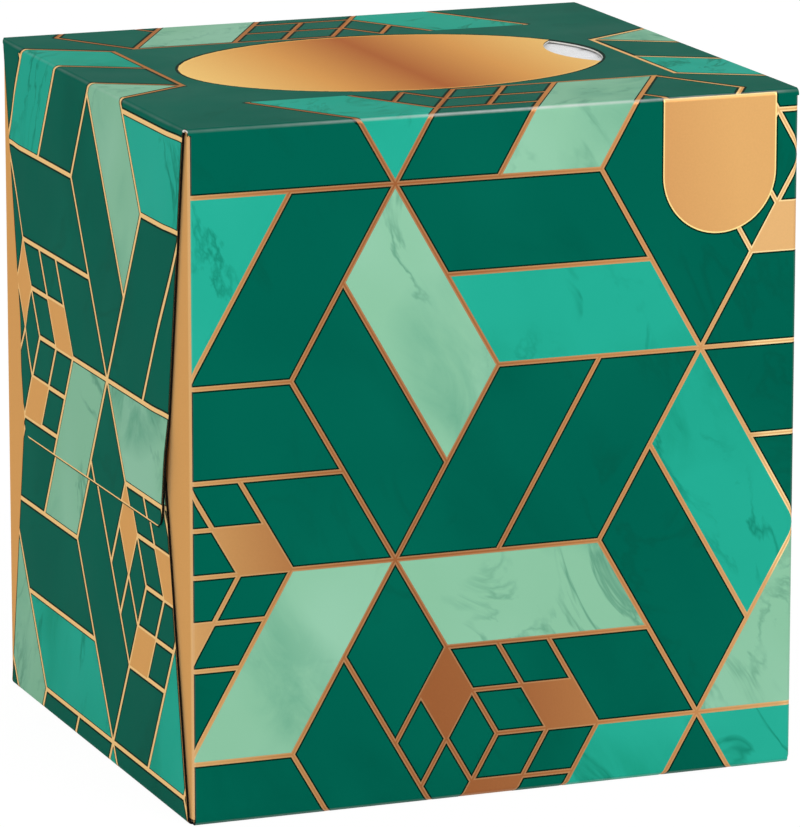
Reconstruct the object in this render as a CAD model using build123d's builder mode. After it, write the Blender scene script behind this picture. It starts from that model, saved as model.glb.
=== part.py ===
"""Upright tissue box: a folded and glued carton with a perforated oval and a
finger hole in its top, a dispensing film under the oval, a clip of folded
tissues inside, and a printed pattern of tumbling blocks on five faces.

The origin is the centre of the carton's underside. X runs along the width,
from the left end to the right one, Y from the front to the back, Z up.
The end flaps close the carton at its two X ends.
"""
import cmath
import math
import os

from build123d import *

os.makedirs("parts", exist_ok=True)

# Carton, outer sizes of the board
box_width = 118.0  # X, over the outer flaps of both ends
box_depth = 105.5  # Y, over the front and back panels
box_height = 125.5  # Z
board = 0.45  # thickness of the card
panel_fold = 1.0  # outer radius of the folds between the four panels
flap_fold = 0.9  # outer radius of the folds of the end flaps
glue_flap = 12.0  # height of the strip glued inside the back panel

# End flaps
minor_flap = 38.0  # length of the four inner flaps, along Y
minor_relief = 0.2  # room between an inner flap and the folds above and below it
upper_flap = 74.0  # drop of the outer flap from the top of the box
lower_flap = 62.0  # rise of the flap under it from the bottom of the box
flap_inset = 1.6  # step in from the front and back faces where an outer flap folds
upper_taper = 12.0  # further step in at the upper flap's free edge
lower_taper = 11.5  # the same at the lower flap's free edge
flap_corner = 3.0  # corner radius of the free edges

# Perforated oval and finger hole in the top panel
oval_half_width = 40.3
oval_half_depth = 29.6
cut_length = 3.4  # one perforation cut
bridge = 0.9  # board left between two cuts
cut_width = 0.2
hole_length = 25.0  # finger hole, tip to tip along Y
hole_bulge = 4.8  # how far its inner edge bows away from its chord

# Dispensing film
film_width = 98.0
film_depth = 76.0
film = 0.1  # thickness
slit_length = 62.0
slit_width = 0.6

# Tissues
tissue_side_gap = 1.6  # room to the walls all round
tissue_top_gap = 0.3  # room under the film
tissue_slot = 0.9  # gap between the two legs
tissue_shoulder = 18.0  # radius of the outer bends
tissue_edge = 2.0  # radius of the ends of the folds

# Print
ink = 0.05  # thickness of a field of colour
line_width = 0.85  # bare copper line between two fields
block_side = 39.3  # edge of one tumbling block
long_border = 22.0  # reach of the front's and back's pattern over their folds onto the top
end_border = 15.0  # the same for the two ends
field_margin = 0.3  # bare strip at a cut edge
tag_width = 22.1  # bare copper tag hanging from the front's upper fold
tag_drop = 25.3
tag_inset = 15.4  # tag's centre line from the front face's right edge

# Planes that follow from the sizes above
half_width = box_width / 2
half_depth = box_depth / 2
end_inner = half_width - 2 * board  # outer faces of the inner flaps
end_middle = half_width - board  # outer faces of the lower flaps
tube_end = end_inner - flap_fold  # where the flap folds start
upper_edge = box_height - upper_flap
top_inside = box_height - board


def fold_arc(centre, radius, side):
    """quarter turn from the top of a circle to its left (-1) or right (+1) side"""
    middle = radius * math.sqrt(0.5)
    return ThreePointArc(
        (centre[0], centre[1] + radius),
        (centre[0] + side * middle, centre[1] + middle),
        (centre[0] + side * radius, centre[1]),
    )


def fold_section(side, panel_start, face, flap_end):
    """edges of the section of a panel that folds into a flap

    The panel lies along local x with its outer side at local y = 0 and its
    board below it. It begins at panel_start, and on its left (-1) or right
    (+1) side it turns down round the flap fold and goes on to flap_end, with
    the flap's outer side at face. Both are counted from the middle.
    """
    start = side * panel_start
    centre = (side * (face - flap_fold), -flap_fold)
    outer, inner = side * face, side * (face - board)
    with BuildLine() as section:
        Line((start, 0), (centre[0], 0))
        fold_arc(centre, flap_fold, side)
        Line((outer, -flap_fold), (outer, flap_end))
        Line((outer, flap_end), (inner, flap_end))
        Line((inner, flap_end), (inner, -flap_fold))
        fold_arc(centre, flap_fold - board, side)
        Line((centre[0], -board), (start, -board))
        Line((start, -board), (start, 0))
    return section.edges()


def flap_outline(fold_height, free_height, taper):
    """corners of an end flap seen from outside, between two heights"""
    wide = half_depth - flap_inset
    narrow = wide - taper
    return [(-wide, fold_height), (wide, fold_height), (narrow, free_height), (-narrow, free_height)]


def oval_point(angle):
    return Vector(oval_half_width * math.cos(angle), oval_half_depth * math.sin(angle))


# Ends of the finger hole on the oval, and the top of its inner edge's bow
hole_angle = math.asin(hole_length / 2 / oval_half_depth)
hole_tip = oval_point(hole_angle)
hole_inner = Vector(hole_tip.X - hole_bulge, 0)


def oval_cuts():
    """places of the perforation cuts, evenly spaced from tip to tip of the hole"""
    steps = 2000
    angles = [hole_angle + (2 * math.pi - 2 * hole_angle) * i / steps for i in range(steps + 1)]
    points = [oval_point(a) for a in angles]
    lengths = [0.0]
    for start, end in zip(points, points[1:]):
        lengths.append(lengths[-1] + (end - start).length)
    count = round(lengths[-1] / (cut_length + bridge))
    cuts = []
    for i in range(count):
        wanted = (i + 0.5) * lengths[-1] / count
        nearest = min(range(1, steps), key=lambda j: abs(lengths[j] - wanted))
        along = points[nearest + 1] - points[nearest - 1]
        slope = math.degrees(math.atan2(along.Y, along.X))
        cuts.append(Location((points[nearest].X, points[nearest].Y), slope))
    return cuts


# Carton: four panels in a tube, eight end flaps, the strip glued inside the
# back panel, and the cuts in the top
with BuildPart() as carton:
    with BuildSketch(Plane.YZ.offset(-tube_end)):
        with Locations((0, box_height / 2)):
            RectangleRounded(box_depth, box_height, panel_fold)
            RectangleRounded(
                box_depth - 2 * board, box_height - 2 * board, panel_fold - board, mode=Mode.SUBTRACT
            )
        with Locations((half_depth - 1.5 * board, panel_fold + glue_flap / 2)):
            Rectangle(board, glue_flap)
    extrude(amount=2 * tube_end)

    for side in (-1, 1):
        # inner flaps, from the front panel and the back one
        for front in (-1, 1):
            inner_plane = Plane(
                origin=(0, front * half_depth, panel_fold + minor_relief),
                x_dir=(1, 0, 0),
                z_dir=(0, 0, front),
            )
            flap_height = box_height - 2 * (panel_fold + minor_relief)
            with BuildSketch(inner_plane):
                make_face(fold_section(side, tube_end - flap_fold, end_inner, -minor_flap))
            extrude(amount=front * flap_height)

        # lower flap, from the bottom panel, then the upper flap over it
        for outer_face, height, drop, taper in (
            (end_middle, 0.0, lower_flap, lower_taper),
            (half_width, box_height, upper_flap, upper_taper),
        ):
            up = 1 if height > 0 else -1
            section_plane = Plane(
                origin=(0, up * (half_depth - flap_inset), height),
                x_dir=(1, 0, 0),
                z_dir=(0, -up, 0),
            )
            with BuildPart(mode=Mode.PRIVATE) as flap:
                with BuildSketch(section_plane):
                    make_face(fold_section(side, tube_end, outer_face, -drop))
                extrude(amount=2 * (half_depth - flap_inset))
                with BuildSketch(Plane.YZ.offset(side * (tube_end - flap_fold))):
                    free = height - up * drop
                    Polygon(*flap_outline(height, free, taper), align=None)
                    corners = vertices().group_by(Axis.Y)[0 if up > 0 else -1]
                    fillet(corners, flap_corner)
                extrude(amount=side * 2 * (half_width - tube_end), mode=Mode.INTERSECT)
            add(flap.part)

    # finger hole and perforation cuts
    with BuildSketch(Plane.XY.offset(box_height)):
        with BuildLine():
            ThreePointArc((hole_tip.X, -hole_tip.Y), (hole_inner.X, 0), (hole_tip.X, hole_tip.Y))
            EllipticalCenterArc(
                (0, 0),
                oval_half_width,
                oval_half_depth,
                start_angle=-math.degrees(hole_angle),
                arc_size=2 * math.degrees(hole_angle),
            )
        make_face()
        with Locations(*oval_cuts()):
            Rectangle(cut_length, cut_width)
    extrude(amount=-board, mode=Mode.SUBTRACT)
carton.part.label = "carton"

# Dispensing film, glued under the top panel round the oval
with BuildPart() as dispensing_film:
    with BuildSketch(Plane.XY.offset(top_inside)):
        Rectangle(film_width, film_depth)
        SlotOverall(slit_length, slit_width, mode=Mode.SUBTRACT)
    extrude(amount=-film)
dispensing_film.part.label = "dispensing_film"

# Tissues, a folded pile bent over into two legs
tissue_half_width = end_inner - board - tissue_side_gap
tissue_top = top_inside - film - tissue_top_gap
tissue_leg = tissue_half_width - tissue_slot / 2
tissue_depth = box_depth - 2 * (2 * board + tissue_side_gap)
with BuildPart() as tissue_clip:
    with BuildSketch(Plane.XZ.offset(-tissue_depth / 2)) as clip_section:
        with Locations((0, (board + tissue_top) / 2)):
            Rectangle(2 * tissue_half_width, tissue_top - board)
        fillet(clip_section.vertices().group_by(Axis.Y)[-1], tissue_shoulder)
        fillet(clip_section.vertices().group_by(Axis.Y)[0], tissue_edge)
        slot_top = tissue_top - tissue_leg
        with Locations((0, slot_top - tissue_slot / 2)):
            Circle(tissue_slot / 2, mode=Mode.SUBTRACT)
        with Locations((0, (board + slot_top - tissue_slot / 2) / 2)):
            Rectangle(tissue_slot, slot_top - tissue_slot / 2 - board, mode=Mode.SUBTRACT)
    extrude(amount=tissue_depth)
tissue_clip.part.label = "tissue_clip"


# The print is laid out in the flat. A point of a face's plane is a complex
# number: local x is its real part and local y its imaginary part. All
# polygons are convex, with their corners anticlockwise.


def direction(sixths):
    """unit step turned from local x by a number of sixths of a turn"""
    return cmath.exp(1j * math.pi / 3 * sixths)


def along(step, other):
    """how far one step goes in the direction of another one of unit length"""
    return (step * other.conjugate()).real


def edges_of(points):
    return list(zip(points, points[1:] + points[:1]))


def inward_normal(start, end):
    return 1j * (end - start) / abs(end - start)


def block_cells(centre, colours, plain_first):
    """(colour, corners) of each printed cell of the tumbling blocks round a centre

    A block is a hexagon of three rhombi, each in two bands: one of them
    green, the other in the rhombus's own colour. In every other block the
    middle corners of the rhombi hold four small rhombi each, one of them
    left bare. The block at the centre is a plain one if plain_first says so.
    """
    cells = []

    def add_cell(colour, middle, k, low, high):
        right, left = direction(2 * k), direction(2 * k + 2)
        shares = [(low[0], low[1]), (high[0], low[1]), (high[0], high[1]), (low[0], high[1])]
        cells.append((colour, [middle + block_side * (i * right + j * left) for i, j in shares]))

    for m in range(-reach, reach + 1):
        for n in range(-reach, reach + 1):
            middle = centre + block_side * complex(1.5 * m, math.sqrt(3) * (n + m / 2))
            for k in range(3):
                band = colours[(k + m - n) % 3]
                if ((m + n) % 2 == 0) == plain_first:
                    add_cell(band, middle, k, (0, 0), (1, 0.5))
                    add_cell("green", middle, k, (0, 0.5), (1, 1))
                    continue
                add_cell(band, middle, k, (0, 0.5), (1, 1))
                add_cell("green", middle, k, (0.5, 0), (1, 0.5))
                add_cell("green", middle, k, (0, 0), (0.25, 0.25))
                add_cell("green", middle, k, (0, 0.25), (0.25, 0.5))
                add_cell("green", middle, k, (0.25, 0.25), (0.5, 0.5))
    return cells


def moved_edges(points, amount):
    """a polygon with each of its edges moved inwards"""
    normals = [inward_normal(start, end) for start, end in edges_of(points)]
    corners = zip(points, normals[-1:] + normals[:-1], normals)
    return [p + (first + second) * amount / (1 + along(first, second)) for p, first, second in corners]


def clipped(points, outline):
    """the part of a polygon inside an outline"""
    for start, end in edges_of(outline):
        inward = inward_normal(start, end)
        kept = []
        for point, after in edges_of(points):
            here, there = along(point - start, inward), along(after - start, inward)
            if here >= 0:
                kept.append(point)
            if here * there < 0:
                kept.append(point + (after - point) * here / (here - there))
        points = kept
    return points


def polygon_area(points):
    return sum((p.conjugate() * q).imag for p, q in edges_of(points)) / 2


def outward_plane(normal, distance):
    """plane of a side face: local y is height, local x runs to the viewer's right"""
    out = Vector(*normal)
    return Plane(origin=out * distance, x_dir=Vector(0, 0, 1).cross(out), z_dir=out)


def top_plane(normal, distance):
    """plane of the top seen from one side, local y counted inwards from that side's fold"""
    out = Vector(*normal)
    return Plane(origin=out * distance + Vector(0, 0, box_height), x_dir=Vector(0, 0, 1).cross(out))


def outline_points(low, high, half_low, half_high):
    """an upright trapezoid, centred on local y"""
    corners = ((-half_low, low), (half_low, low), (half_high, high), (-half_high, high))
    return [complex(x, y) for x, y in corners]


def flap_half(height, fold_height, free_height, taper):
    """half the width of an end flap at a height"""
    share = (height - fold_height) / (free_height - fold_height)
    return half_depth - flap_inset - taper * share - field_margin


# A block's middle stands two rows below the border's inner edge on the top,
# so that a row of the pattern ends there. Long sides and ends differ in
# where that middle stands along them, and in the order of colours.
two_rows = block_side * math.sqrt(3)
long_blocks = (complex(0, long_border - two_rows), ("teal", "mint", "green"), True)
end_blocks = (complex(-0.75 * block_side, end_border - two_rows), ("green", "teal", "mint"), False)
reach = math.ceil(max(box_width, box_depth, box_height) / block_side) + 1

upper_low = upper_edge + 2 * field_margin + line_width
upper_high = box_height - flap_fold
upper_field = outline_points(
    upper_low,
    upper_high,
    flap_half(upper_low, box_height, upper_edge, upper_taper),
    flap_half(upper_high, box_height, upper_edge, upper_taper),
)
lower_low = flap_fold
lower_high = upper_edge - field_margin
lower_field = outline_points(
    lower_low,
    lower_high,
    flap_half(lower_low, 0, lower_flap, lower_taper),
    flap_half(lower_high, 0, lower_flap, lower_taper),
)
long_field = outline_points(panel_fold, box_height - panel_fold, tube_end, tube_end)

fields_of_colour = {"green": [], "teal": [], "mint": []}
smallest_field = line_width**2
inside_mitre = 0.97  # share of a cell that has to lie inside the top's mitres


def side_cells(blocks, half_length, fold, border):
    """(colour, corners, part on the top) of the cells of one side, local y counted from its upper fold

    A cell goes on over the fold, up to the border's inner edge, if it stays
    clear of the mitres at the top's corners. One that doesn't is green and
    ends at the fold.
    """
    strip = outline_points(fold, border + line_width / 2, half_length, half_length)
    mitre = outline_points(0, border, half_length, half_length - border)
    for colour, points in block_cells(*blocks):
        over = clipped(points, strip)
        if len(over) > 2 and polygon_area(clipped(over, mitre)) < inside_mitre * polygon_area(over):
            colour, over = "green", []
        yield colour, points, over


def add_field(colour, plane, points):
    """keep one field of colour, unless next to nothing of it is left"""
    if len(points) > 2 and polygon_area(points) > smallest_field:
        fields_of_colour[colour].append((plane, points))


# Upright faces, and the border on the top, cut only by the fold and by the
# border's inner edge
border_gaps = []
long_side = (long_blocks, half_width, panel_fold, long_border)
end_side = (end_blocks, half_depth, flap_fold, end_border)
for normal, distance, outline, side_layout in (
    ((0, -1, 0), half_depth, long_field, long_side),
    ((0, 1, 0), half_depth, long_field, long_side),
    ((-1, 0, 0), half_width, upper_field, end_side),
    ((-1, 0, 0), end_middle, lower_field, end_side),
    ((1, 0, 0), half_width, upper_field, end_side),
    ((1, 0, 0), end_middle, lower_field, end_side),
):
    blocks, half_length, fold, border = side_layout
    strip = outline_points(fold, border + line_width / 2, half_length, half_length)
    face_plane, border_plane = outward_plane(normal, distance), top_plane(normal, distance)
    for colour, points, over in side_cells(*side_layout):
        upright = [point + 1j * box_height for point in points]
        add_field(colour, face_plane, clipped(moved_edges(upright, line_width / 2), outline))
        if over and outline is not lower_field:
            border_gaps.append((border_plane, clipped(moved_edges(points, -line_width / 2), strip)))
            add_field(colour, border_plane, clipped(moved_edges(points, line_width / 2), strip))


def flat_faces(shapes):
    """faces of a list of (plane, corners)"""
    made = []
    for plane, points in shapes:
        flat = Polygon(*[(p.real, p.imag) for p in points], align=None, mode=Mode.PRIVATE)
        made += (plane * flat).faces()
    return made


green_faces = flat_faces(fields_of_colour["green"])
teal_faces = flat_faces(fields_of_colour["teal"])
mint_faces = flat_faces(fields_of_colour["mint"])
border_faces = flat_faces(border_gaps)

# What the print leaves bare: the tag hanging from the front's upper fold,
# and the oval
tag_centre = end_inner - tag_inset
tag_radius = tag_width / 2
with BuildSketch(Plane.XY.offset(box_height)) as oval:
    Ellipse(oval_half_width, oval_half_depth)
with BuildSketch(outward_plane((0, -1, 0), half_depth)) as tag:
    with Locations((tag_centre, box_height - tag_drop + tag_radius)):
        Circle(tag_radius)
    with Locations((tag_centre, box_height - (tag_drop - tag_radius) / 2)):
        Rectangle(tag_width, tag_drop - tag_radius)

# Teal and mint fields
with BuildPart() as print_teal:
    extrude(teal_faces, amount=ink)
    extrude(tag.sketch, amount=ink, mode=Mode.SUBTRACT)
    extrude(oval.sketch, amount=ink, mode=Mode.SUBTRACT)
print_teal.part.label = "print_teal"

with BuildPart() as print_mint:
    extrude(mint_faces, amount=ink)
    extrude(tag.sketch, amount=ink, mode=Mode.SUBTRACT)
    extrude(oval.sketch, amount=ink, mode=Mode.SUBTRACT)
print_mint.part.label = "print_mint"


def fold_plane(normal, up, distance, radius, half_length):
    """plane across one end of a fold: its origin is the fold's centre line, local x points
    outwards and local y up (1) or down (-1)"""
    out, lift = Vector(*normal), Vector(0, 0, up)
    centre_height = box_height - radius if up > 0 else radius
    middle = out * (distance - radius) + Vector(0, 0, centre_height)
    along_fold = out.cross(lift)
    return Plane(origin=middle - along_fold * half_length, x_dir=out, z_dir=along_fold)


# Dark green fields, the ground of the top round the oval, and the strips
# round the folds at the top and bottom of the four sides
with BuildPart() as print_dark_green:
    with BuildSketch(Plane.XY.offset(box_height)):
        Rectangle(2 * (half_width - flap_fold), 2 * (half_depth - panel_fold))
    extrude(amount=ink)
    extrude(border_faces, amount=ink, mode=Mode.SUBTRACT)
    extrude(green_faces, amount=ink)
    extrude(tag.sketch, amount=ink, mode=Mode.SUBTRACT)
    extrude(oval.sketch, amount=ink, mode=Mode.SUBTRACT)
    flap_half_length = half_depth - flap_inset
    for normal, up, distance, radius, half_length in (
        ((0, -1, 0), 1, half_depth, panel_fold, tube_end),
        ((0, 1, 0), 1, half_depth, panel_fold, tube_end),
        ((-1, 0, 0), 1, half_width, flap_fold, flap_half_length),
        ((1, 0, 0), 1, half_width, flap_fold, flap_half_length),
        ((0, -1, 0), -1, half_depth, panel_fold, tube_end),
        ((0, 1, 0), -1, half_depth, panel_fold, tube_end),
        ((-1, 0, 0), -1, end_middle, flap_fold, flap_half_length),
        ((1, 0, 0), -1, end_middle, flap_fold, flap_half_length),
    ):
        printed_height = radius + ink if up > 0 else radius - ink
        with BuildSketch(fold_plane(normal, up, distance, radius, half_length)):
            Circle(radius + ink)
            Circle(radius, mode=Mode.SUBTRACT)
            Rectangle(radius + ink, printed_height, align=Align.MIN, mode=Mode.INTERSECT)
        extrude(amount=2 * half_length)
print_dark_green.part.label = "print_dark_green"

export_step(carton.part, "parts/carton.step")
export_step(dispensing_film.part, "parts/dispensing_film.step")
export_step(tissue_clip.part, "parts/tissue_clip.step")
export_step(print_teal.part, "parts/print_teal.step")
export_step(print_mint.part, "parts/print_mint.step")
export_step(print_dark_green.part, "parts/print_dark_green.step")
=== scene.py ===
"""Looks of the upright tissue box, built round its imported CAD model.

The carton and its print are one blank, laid out in the flat and folded up.
A point of the blank has two coordinates in millimetres: across, which is X on
the four panels and runs on into the end flaps, and along, which runs round
the tube from the back panel's lower edge (positive) over the top (zero at
its middle), the front and the bottom to the glued strip (negative). Both are
counted as if every fold were sharp.
"""

import math

import bpy
import numpy as np
from mathutils import Matrix, Vector
from mathutils.geometry import delaunay_2d_cdt


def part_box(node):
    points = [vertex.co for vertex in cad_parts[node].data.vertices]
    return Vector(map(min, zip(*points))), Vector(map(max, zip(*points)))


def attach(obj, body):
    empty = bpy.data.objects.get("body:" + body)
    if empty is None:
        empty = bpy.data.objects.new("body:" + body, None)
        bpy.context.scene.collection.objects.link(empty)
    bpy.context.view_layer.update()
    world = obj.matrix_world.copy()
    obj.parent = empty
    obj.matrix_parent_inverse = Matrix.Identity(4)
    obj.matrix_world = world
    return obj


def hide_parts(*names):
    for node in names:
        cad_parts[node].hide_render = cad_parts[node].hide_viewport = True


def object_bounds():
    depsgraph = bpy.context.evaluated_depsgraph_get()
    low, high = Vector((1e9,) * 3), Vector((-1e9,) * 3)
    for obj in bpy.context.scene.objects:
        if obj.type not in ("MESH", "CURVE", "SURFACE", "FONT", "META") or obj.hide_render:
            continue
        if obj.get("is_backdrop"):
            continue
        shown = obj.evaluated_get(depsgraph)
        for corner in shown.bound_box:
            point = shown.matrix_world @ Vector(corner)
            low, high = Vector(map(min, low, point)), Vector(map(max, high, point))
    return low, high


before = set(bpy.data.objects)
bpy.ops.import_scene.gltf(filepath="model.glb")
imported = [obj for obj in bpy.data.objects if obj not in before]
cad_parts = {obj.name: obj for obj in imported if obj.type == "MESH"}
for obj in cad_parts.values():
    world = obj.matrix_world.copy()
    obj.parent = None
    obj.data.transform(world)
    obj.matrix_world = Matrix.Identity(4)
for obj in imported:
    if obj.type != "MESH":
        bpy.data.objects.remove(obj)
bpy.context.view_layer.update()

MM = 0.001

# Sizes of the carton, millimetres, as in the part's source
WIDTH, DEPTH, HEIGHT = 118.0, 105.5, 125.5
BOARD = 0.45
PANEL_FOLD, FLAP_FOLD = 1.0, 0.9
GLUE_FLAP = 12.0
MINOR_FLAP, MINOR_RELIEF = 38.0, 0.2
UPPER_FLAP, LOWER_FLAP = 74.0, 62.0
FLAP_INSET, UPPER_TAPER, LOWER_TAPER, FLAP_CORNER = 1.6, 12.0, 11.5, 3.0
OVAL_HALF_WIDTH, OVAL_HALF_DEPTH = 40.3, 29.6
CUT_LENGTH, BRIDGE, CUT_WIDTH = 3.4, 0.9, 0.2
HOLE_LENGTH, HOLE_BULGE = 25.0, 4.8
FILM_WIDTH, FILM_DEPTH, FILM = 98.0, 76.0, 0.1
SLIT_LENGTH, SLIT_WIDTH = 62.0, 0.6
LINE_WIDTH, BLOCK_SIDE = 0.85, 39.3
LONG_BORDER, END_BORDER = 22.0, 15.0
TAG_WIDTH, TAG_DROP, TAG_INSET = 22.1, 25.3, 15.4

HALF_WIDTH, HALF_DEPTH = WIDTH / 2, DEPTH / 2
END_INNER, END_MIDDLE = HALF_WIDTH - 2 * BOARD, HALF_WIDTH - BOARD
TUBE_END = END_INNER - FLAP_FOLD
MINOR_START = PANEL_FOLD + MINOR_RELIEF  # from a tube fold to the inner flap beside it
FOLD_ROOM = MINOR_START - 0.01  # what belongs to the fold, just short of that flap
HAIR = 0.04  # keeps corners apart that would coincide
FLAP_HALF = HALF_DEPTH - FLAP_INSET
PRESSED_DEPTH = BOARD - 0.02  # how far the upper flap's edges are pressed in
PRESSED_BAND, PRESSED_FLAT = 8.0, 1.0  # width of its pressed edge, and of the flat part of it
PRESSED_FADE = (52.0, 62.0)  # drop from the top over which it lifts again
TOP_INSIDE = HEIGHT - BOARD

# Places along the blank: the front's lower fold, the fold of the glued strip
# inside the back panel, and the blank's two ends
FRONT_FOOT = -(HALF_DEPTH + HEIGHT)
GLUE_FOLD = FRONT_FOOT - (DEPTH - BOARD)
BACK_END = HALF_DEPTH + HEIGHT - 0.15
GLUE_END = GLUE_FOLD - PANEL_FOLD - GLUE_FLAP
BOTTOM_MIDDLE = FRONT_FOOT - HALF_DEPTH

# Print
INK = 0.03  # thickness of a field of colour
KEYLINE = 0.28  # dark rim of a field of colour
FOIL_RIM = 0.26  # pale rim of a copper line
END_KEYLINE, END_FOIL_RIM = 0.36, 0.5  # the same on the two ends
OVAL_KEYLINE, OVAL_RIM = 0.5, 0.7  # round the oval
TOP_LINES = 1.6  # how much wider the thin lines are on the top
EDGE_MARGIN = 0.06  # bare strip at a cut edge
CORNER_MARGIN = 0.2  # the print ends this far before an upright corner
FRONT_SIDE_OVERRUN = 0.6  # how far the front's print runs onto its right-hand fold
FRONT_FOOT_OVERRUN, END_FOOT_OVERRUN = 1.2, 1.1  # how far print runs on round the lower folds
BACK_FOOT_MARGIN = 0.4
UPPER_STRIP, LOWER_STRIP = 0.28, 0.3  # bare strips at the end flaps' free edges
SHADE_HALF, SHADE_INSET = 0.5, 2.0  # the painted shadow, a dark line, under the upper flap's edge
SLIVER = 0.3  # square millimetres; a smaller part of a field is left off the top
WHOLE = 0.97  # a field with this share of its part on the top clear of the corners is kept


def srgb(red, green, blue):
    """linear colour of an 8-bit sRGB one"""
    share = np.array([red, green, blue]) / 255
    linear = np.where(share <= 0.04045, share / 12.92, ((share + 0.055) / 1.055) ** 2.4)
    return (*[float(v) for v in linear], 1.0)


# The blank folded up


def bell(distance, reach):
    """e to the minus square of the distance over the reach"""
    return np.exp(-((distance / reach) ** 2))


def bend(distance, radius):
    """quarter fold of a sheet: far from the fold line it is straight, and between the two
    tangent points the distance, evenly spread, is an angle on the arc. Returns how far the
    point lies onwards and inwards of the sharp corner, and its outward normal's two parts."""
    angle = np.clip((distance + radius) / (2 * radius), 0, 1) * math.pi / 2
    onwards = np.where(distance < -radius, distance, radius * np.sin(angle) - radius)
    inwards = np.where(distance > radius, distance, radius - radius * np.cos(angle))
    return onwards, inwards, np.sin(angle), np.cos(angle)


# The four folds of the tube: the corner's place (y, z), the way on before the
# fold, and the outward normal before it
TUBE_CORNERS = np.array(
    [[HALF_DEPTH, HEIGHT], [-HALF_DEPTH, HEIGHT], [-HALF_DEPTH, 0.0], [HALF_DEPTH - BOARD, 0.0]]
)
TUBE_WAYS = np.array([[1.0, 0.0], [-1.0, 0.0], [0.0, -1.0], [1.0, 0.0]])
TUBE_NORMALS = np.array([[0.0, 1.0], [0.0, 1.0], [-1.0, 0.0], [0.0, -1.0]])


def end_face_at(along):
    """how far out the flap that hangs there lies; the tube's own folds go with top and bottom"""
    on_top, on_bottom = np.abs(along) < HALF_DEPTH + FOLD_ROOM, along < FRONT_FOOT + FOLD_ROOM
    return np.select([on_top, on_bottom], [HALF_WIDTH, END_MIDDLE], END_INNER)


def smooth_step(share):
    share = np.clip(share, 0, 1)
    return share * share * (3 - 2 * share)


def pressed_in(across, along):
    """how far the upper flap lies below its own plane: pressed onto the inner flaps along its
    two slanting edges, down to where the lower flap begins under it"""
    drop = np.abs(across) - HALF_WIDTH
    edge = FLAP_HALF - UPPER_TAPER * np.maximum(drop, 0) / UPPER_FLAP
    into_band = np.abs(along) - edge + PRESSED_BAND
    near_edge = smooth_step(into_band / (PRESSED_BAND - PRESSED_FLAT))
    past_fold = smooth_step((drop + FLAP_FOLD) / (2 * FLAP_FOLD))
    above_lower = 1 - smooth_step((drop - PRESSED_FADE[0]) / (PRESSED_FADE[1] - PRESSED_FADE[0]))
    on_top = np.abs(along) < HALF_DEPTH
    return np.where(on_top, PRESSED_DEPTH * near_edge * past_fold * above_lower, 0.0)


def folded(across, along, depth):
    """points and outward normals of the folded blank, a depth below its printed side

    Round the tube the nearest of the four folds bends the sheet. Beyond a
    panel's ends the sheet bends once more, at the plane of its own flap.
    """
    corner = np.select(
        [along > 0, along > -HALF_DEPTH - HEIGHT / 2, along > FRONT_FOOT - HALF_DEPTH], [0, 1, 2], 3
    )
    distance = np.select(
        [corner == 0, corner == 1, corner == 2],
        [along - HALF_DEPTH, -along - HALF_DEPTH, FRONT_FOOT - along],
        GLUE_FOLD - along,
    )
    onwards, inwards, way_part, normal_part = (v[:, None] for v in bend(distance, PANEL_FOLD))
    way, normal = TUBE_WAYS[corner], TUBE_NORMALS[corner]
    section = TUBE_CORNERS[corner] + onwards * way - inwards * normal
    section_normal = way_part * way + normal_part * normal

    end_face = end_face_at(along)
    past, dropped, end_part, face_part = bend(np.abs(across) - end_face, FLAP_FOLD)
    side = np.sign(across)
    points = np.empty((len(across), 3))
    normals = np.empty((len(across), 3))
    points[:, 0] = side * (end_face + past - pressed_in(across, along))
    points[:, 1:] = section - dropped[:, None] * section_normal
    normals[:, 0] = side * end_part
    normals[:, 1:] = face_part[:, None] * section_normal
    return points - depth * normals, normals


def fold_highlight_wear(across, along):
    """where the painted highlight and wear lie: 1 on the crest of a fold, falling to 0 where it
    meets the flat
    """
    highlight_wear = np.zeros(len(across))
    for line in (HALF_DEPTH, -HALF_DEPTH, FRONT_FOOT, GLUE_FOLD):
        highlight_wear = np.maximum(highlight_wear, 1 - np.abs(along - line) / PANEL_FOLD)
    end_face = end_face_at(along)
    return np.maximum(highlight_wear, np.clip(1 - np.abs(np.abs(across) - end_face) / FLAP_FOLD, 0, 1))


HIGHLIGHT_RUB_PLACE, HIGHLIGHT_RUB_REACH = 8.0, 26.0  # where the painted highlight and wear on the top's long folds are strongest
HIGHLIGHT_RUB_LITTLE, HIGHLIGHT_RUB_LEAST = 0.3, 0.12
HIGHLIGHT_RUB_END = 1.3  # length of the corners and flap folds with the least painted highlight and wear


def fold_highlight_rub(across, along):
    """how strong a fold's painted highlight and wear are: most near the middle of the top's long
    folds, little at their corners, and least on the flaps' folds"""
    middle = HIGHLIGHT_RUB_LITTLE + (1 - HIGHLIGHT_RUB_LITTLE) * bell(across - HIGHLIGHT_RUB_PLACE, HIGHLIGHT_RUB_REACH)
    on_tube = np.abs(np.abs(along) - HALF_DEPTH) < 2 * PANEL_FOLD
    at_end = np.abs(across) > HALF_WIDTH - HIGHLIGHT_RUB_END
    return np.where(on_tube & ~at_end, middle, np.where(at_end, HIGHLIGHT_RUB_LEAST, HIGHLIGHT_RUB_LITTLE))


# Flat shapes. A point is a complex number, and polygons run anticlockwise.


def direction(sixths):
    return complex(np.exp(1j * math.pi / 3 * sixths))


def moved_edges(points, amount):
    """a convex polygon with each edge moved inwards"""
    steps = np.roll(points, -1) - points
    normals = 1j * steps / np.abs(steps)
    before = np.roll(normals, 1)
    return points + (before + normals) * amount / (1 + (before * normals.conj()).real)


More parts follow.
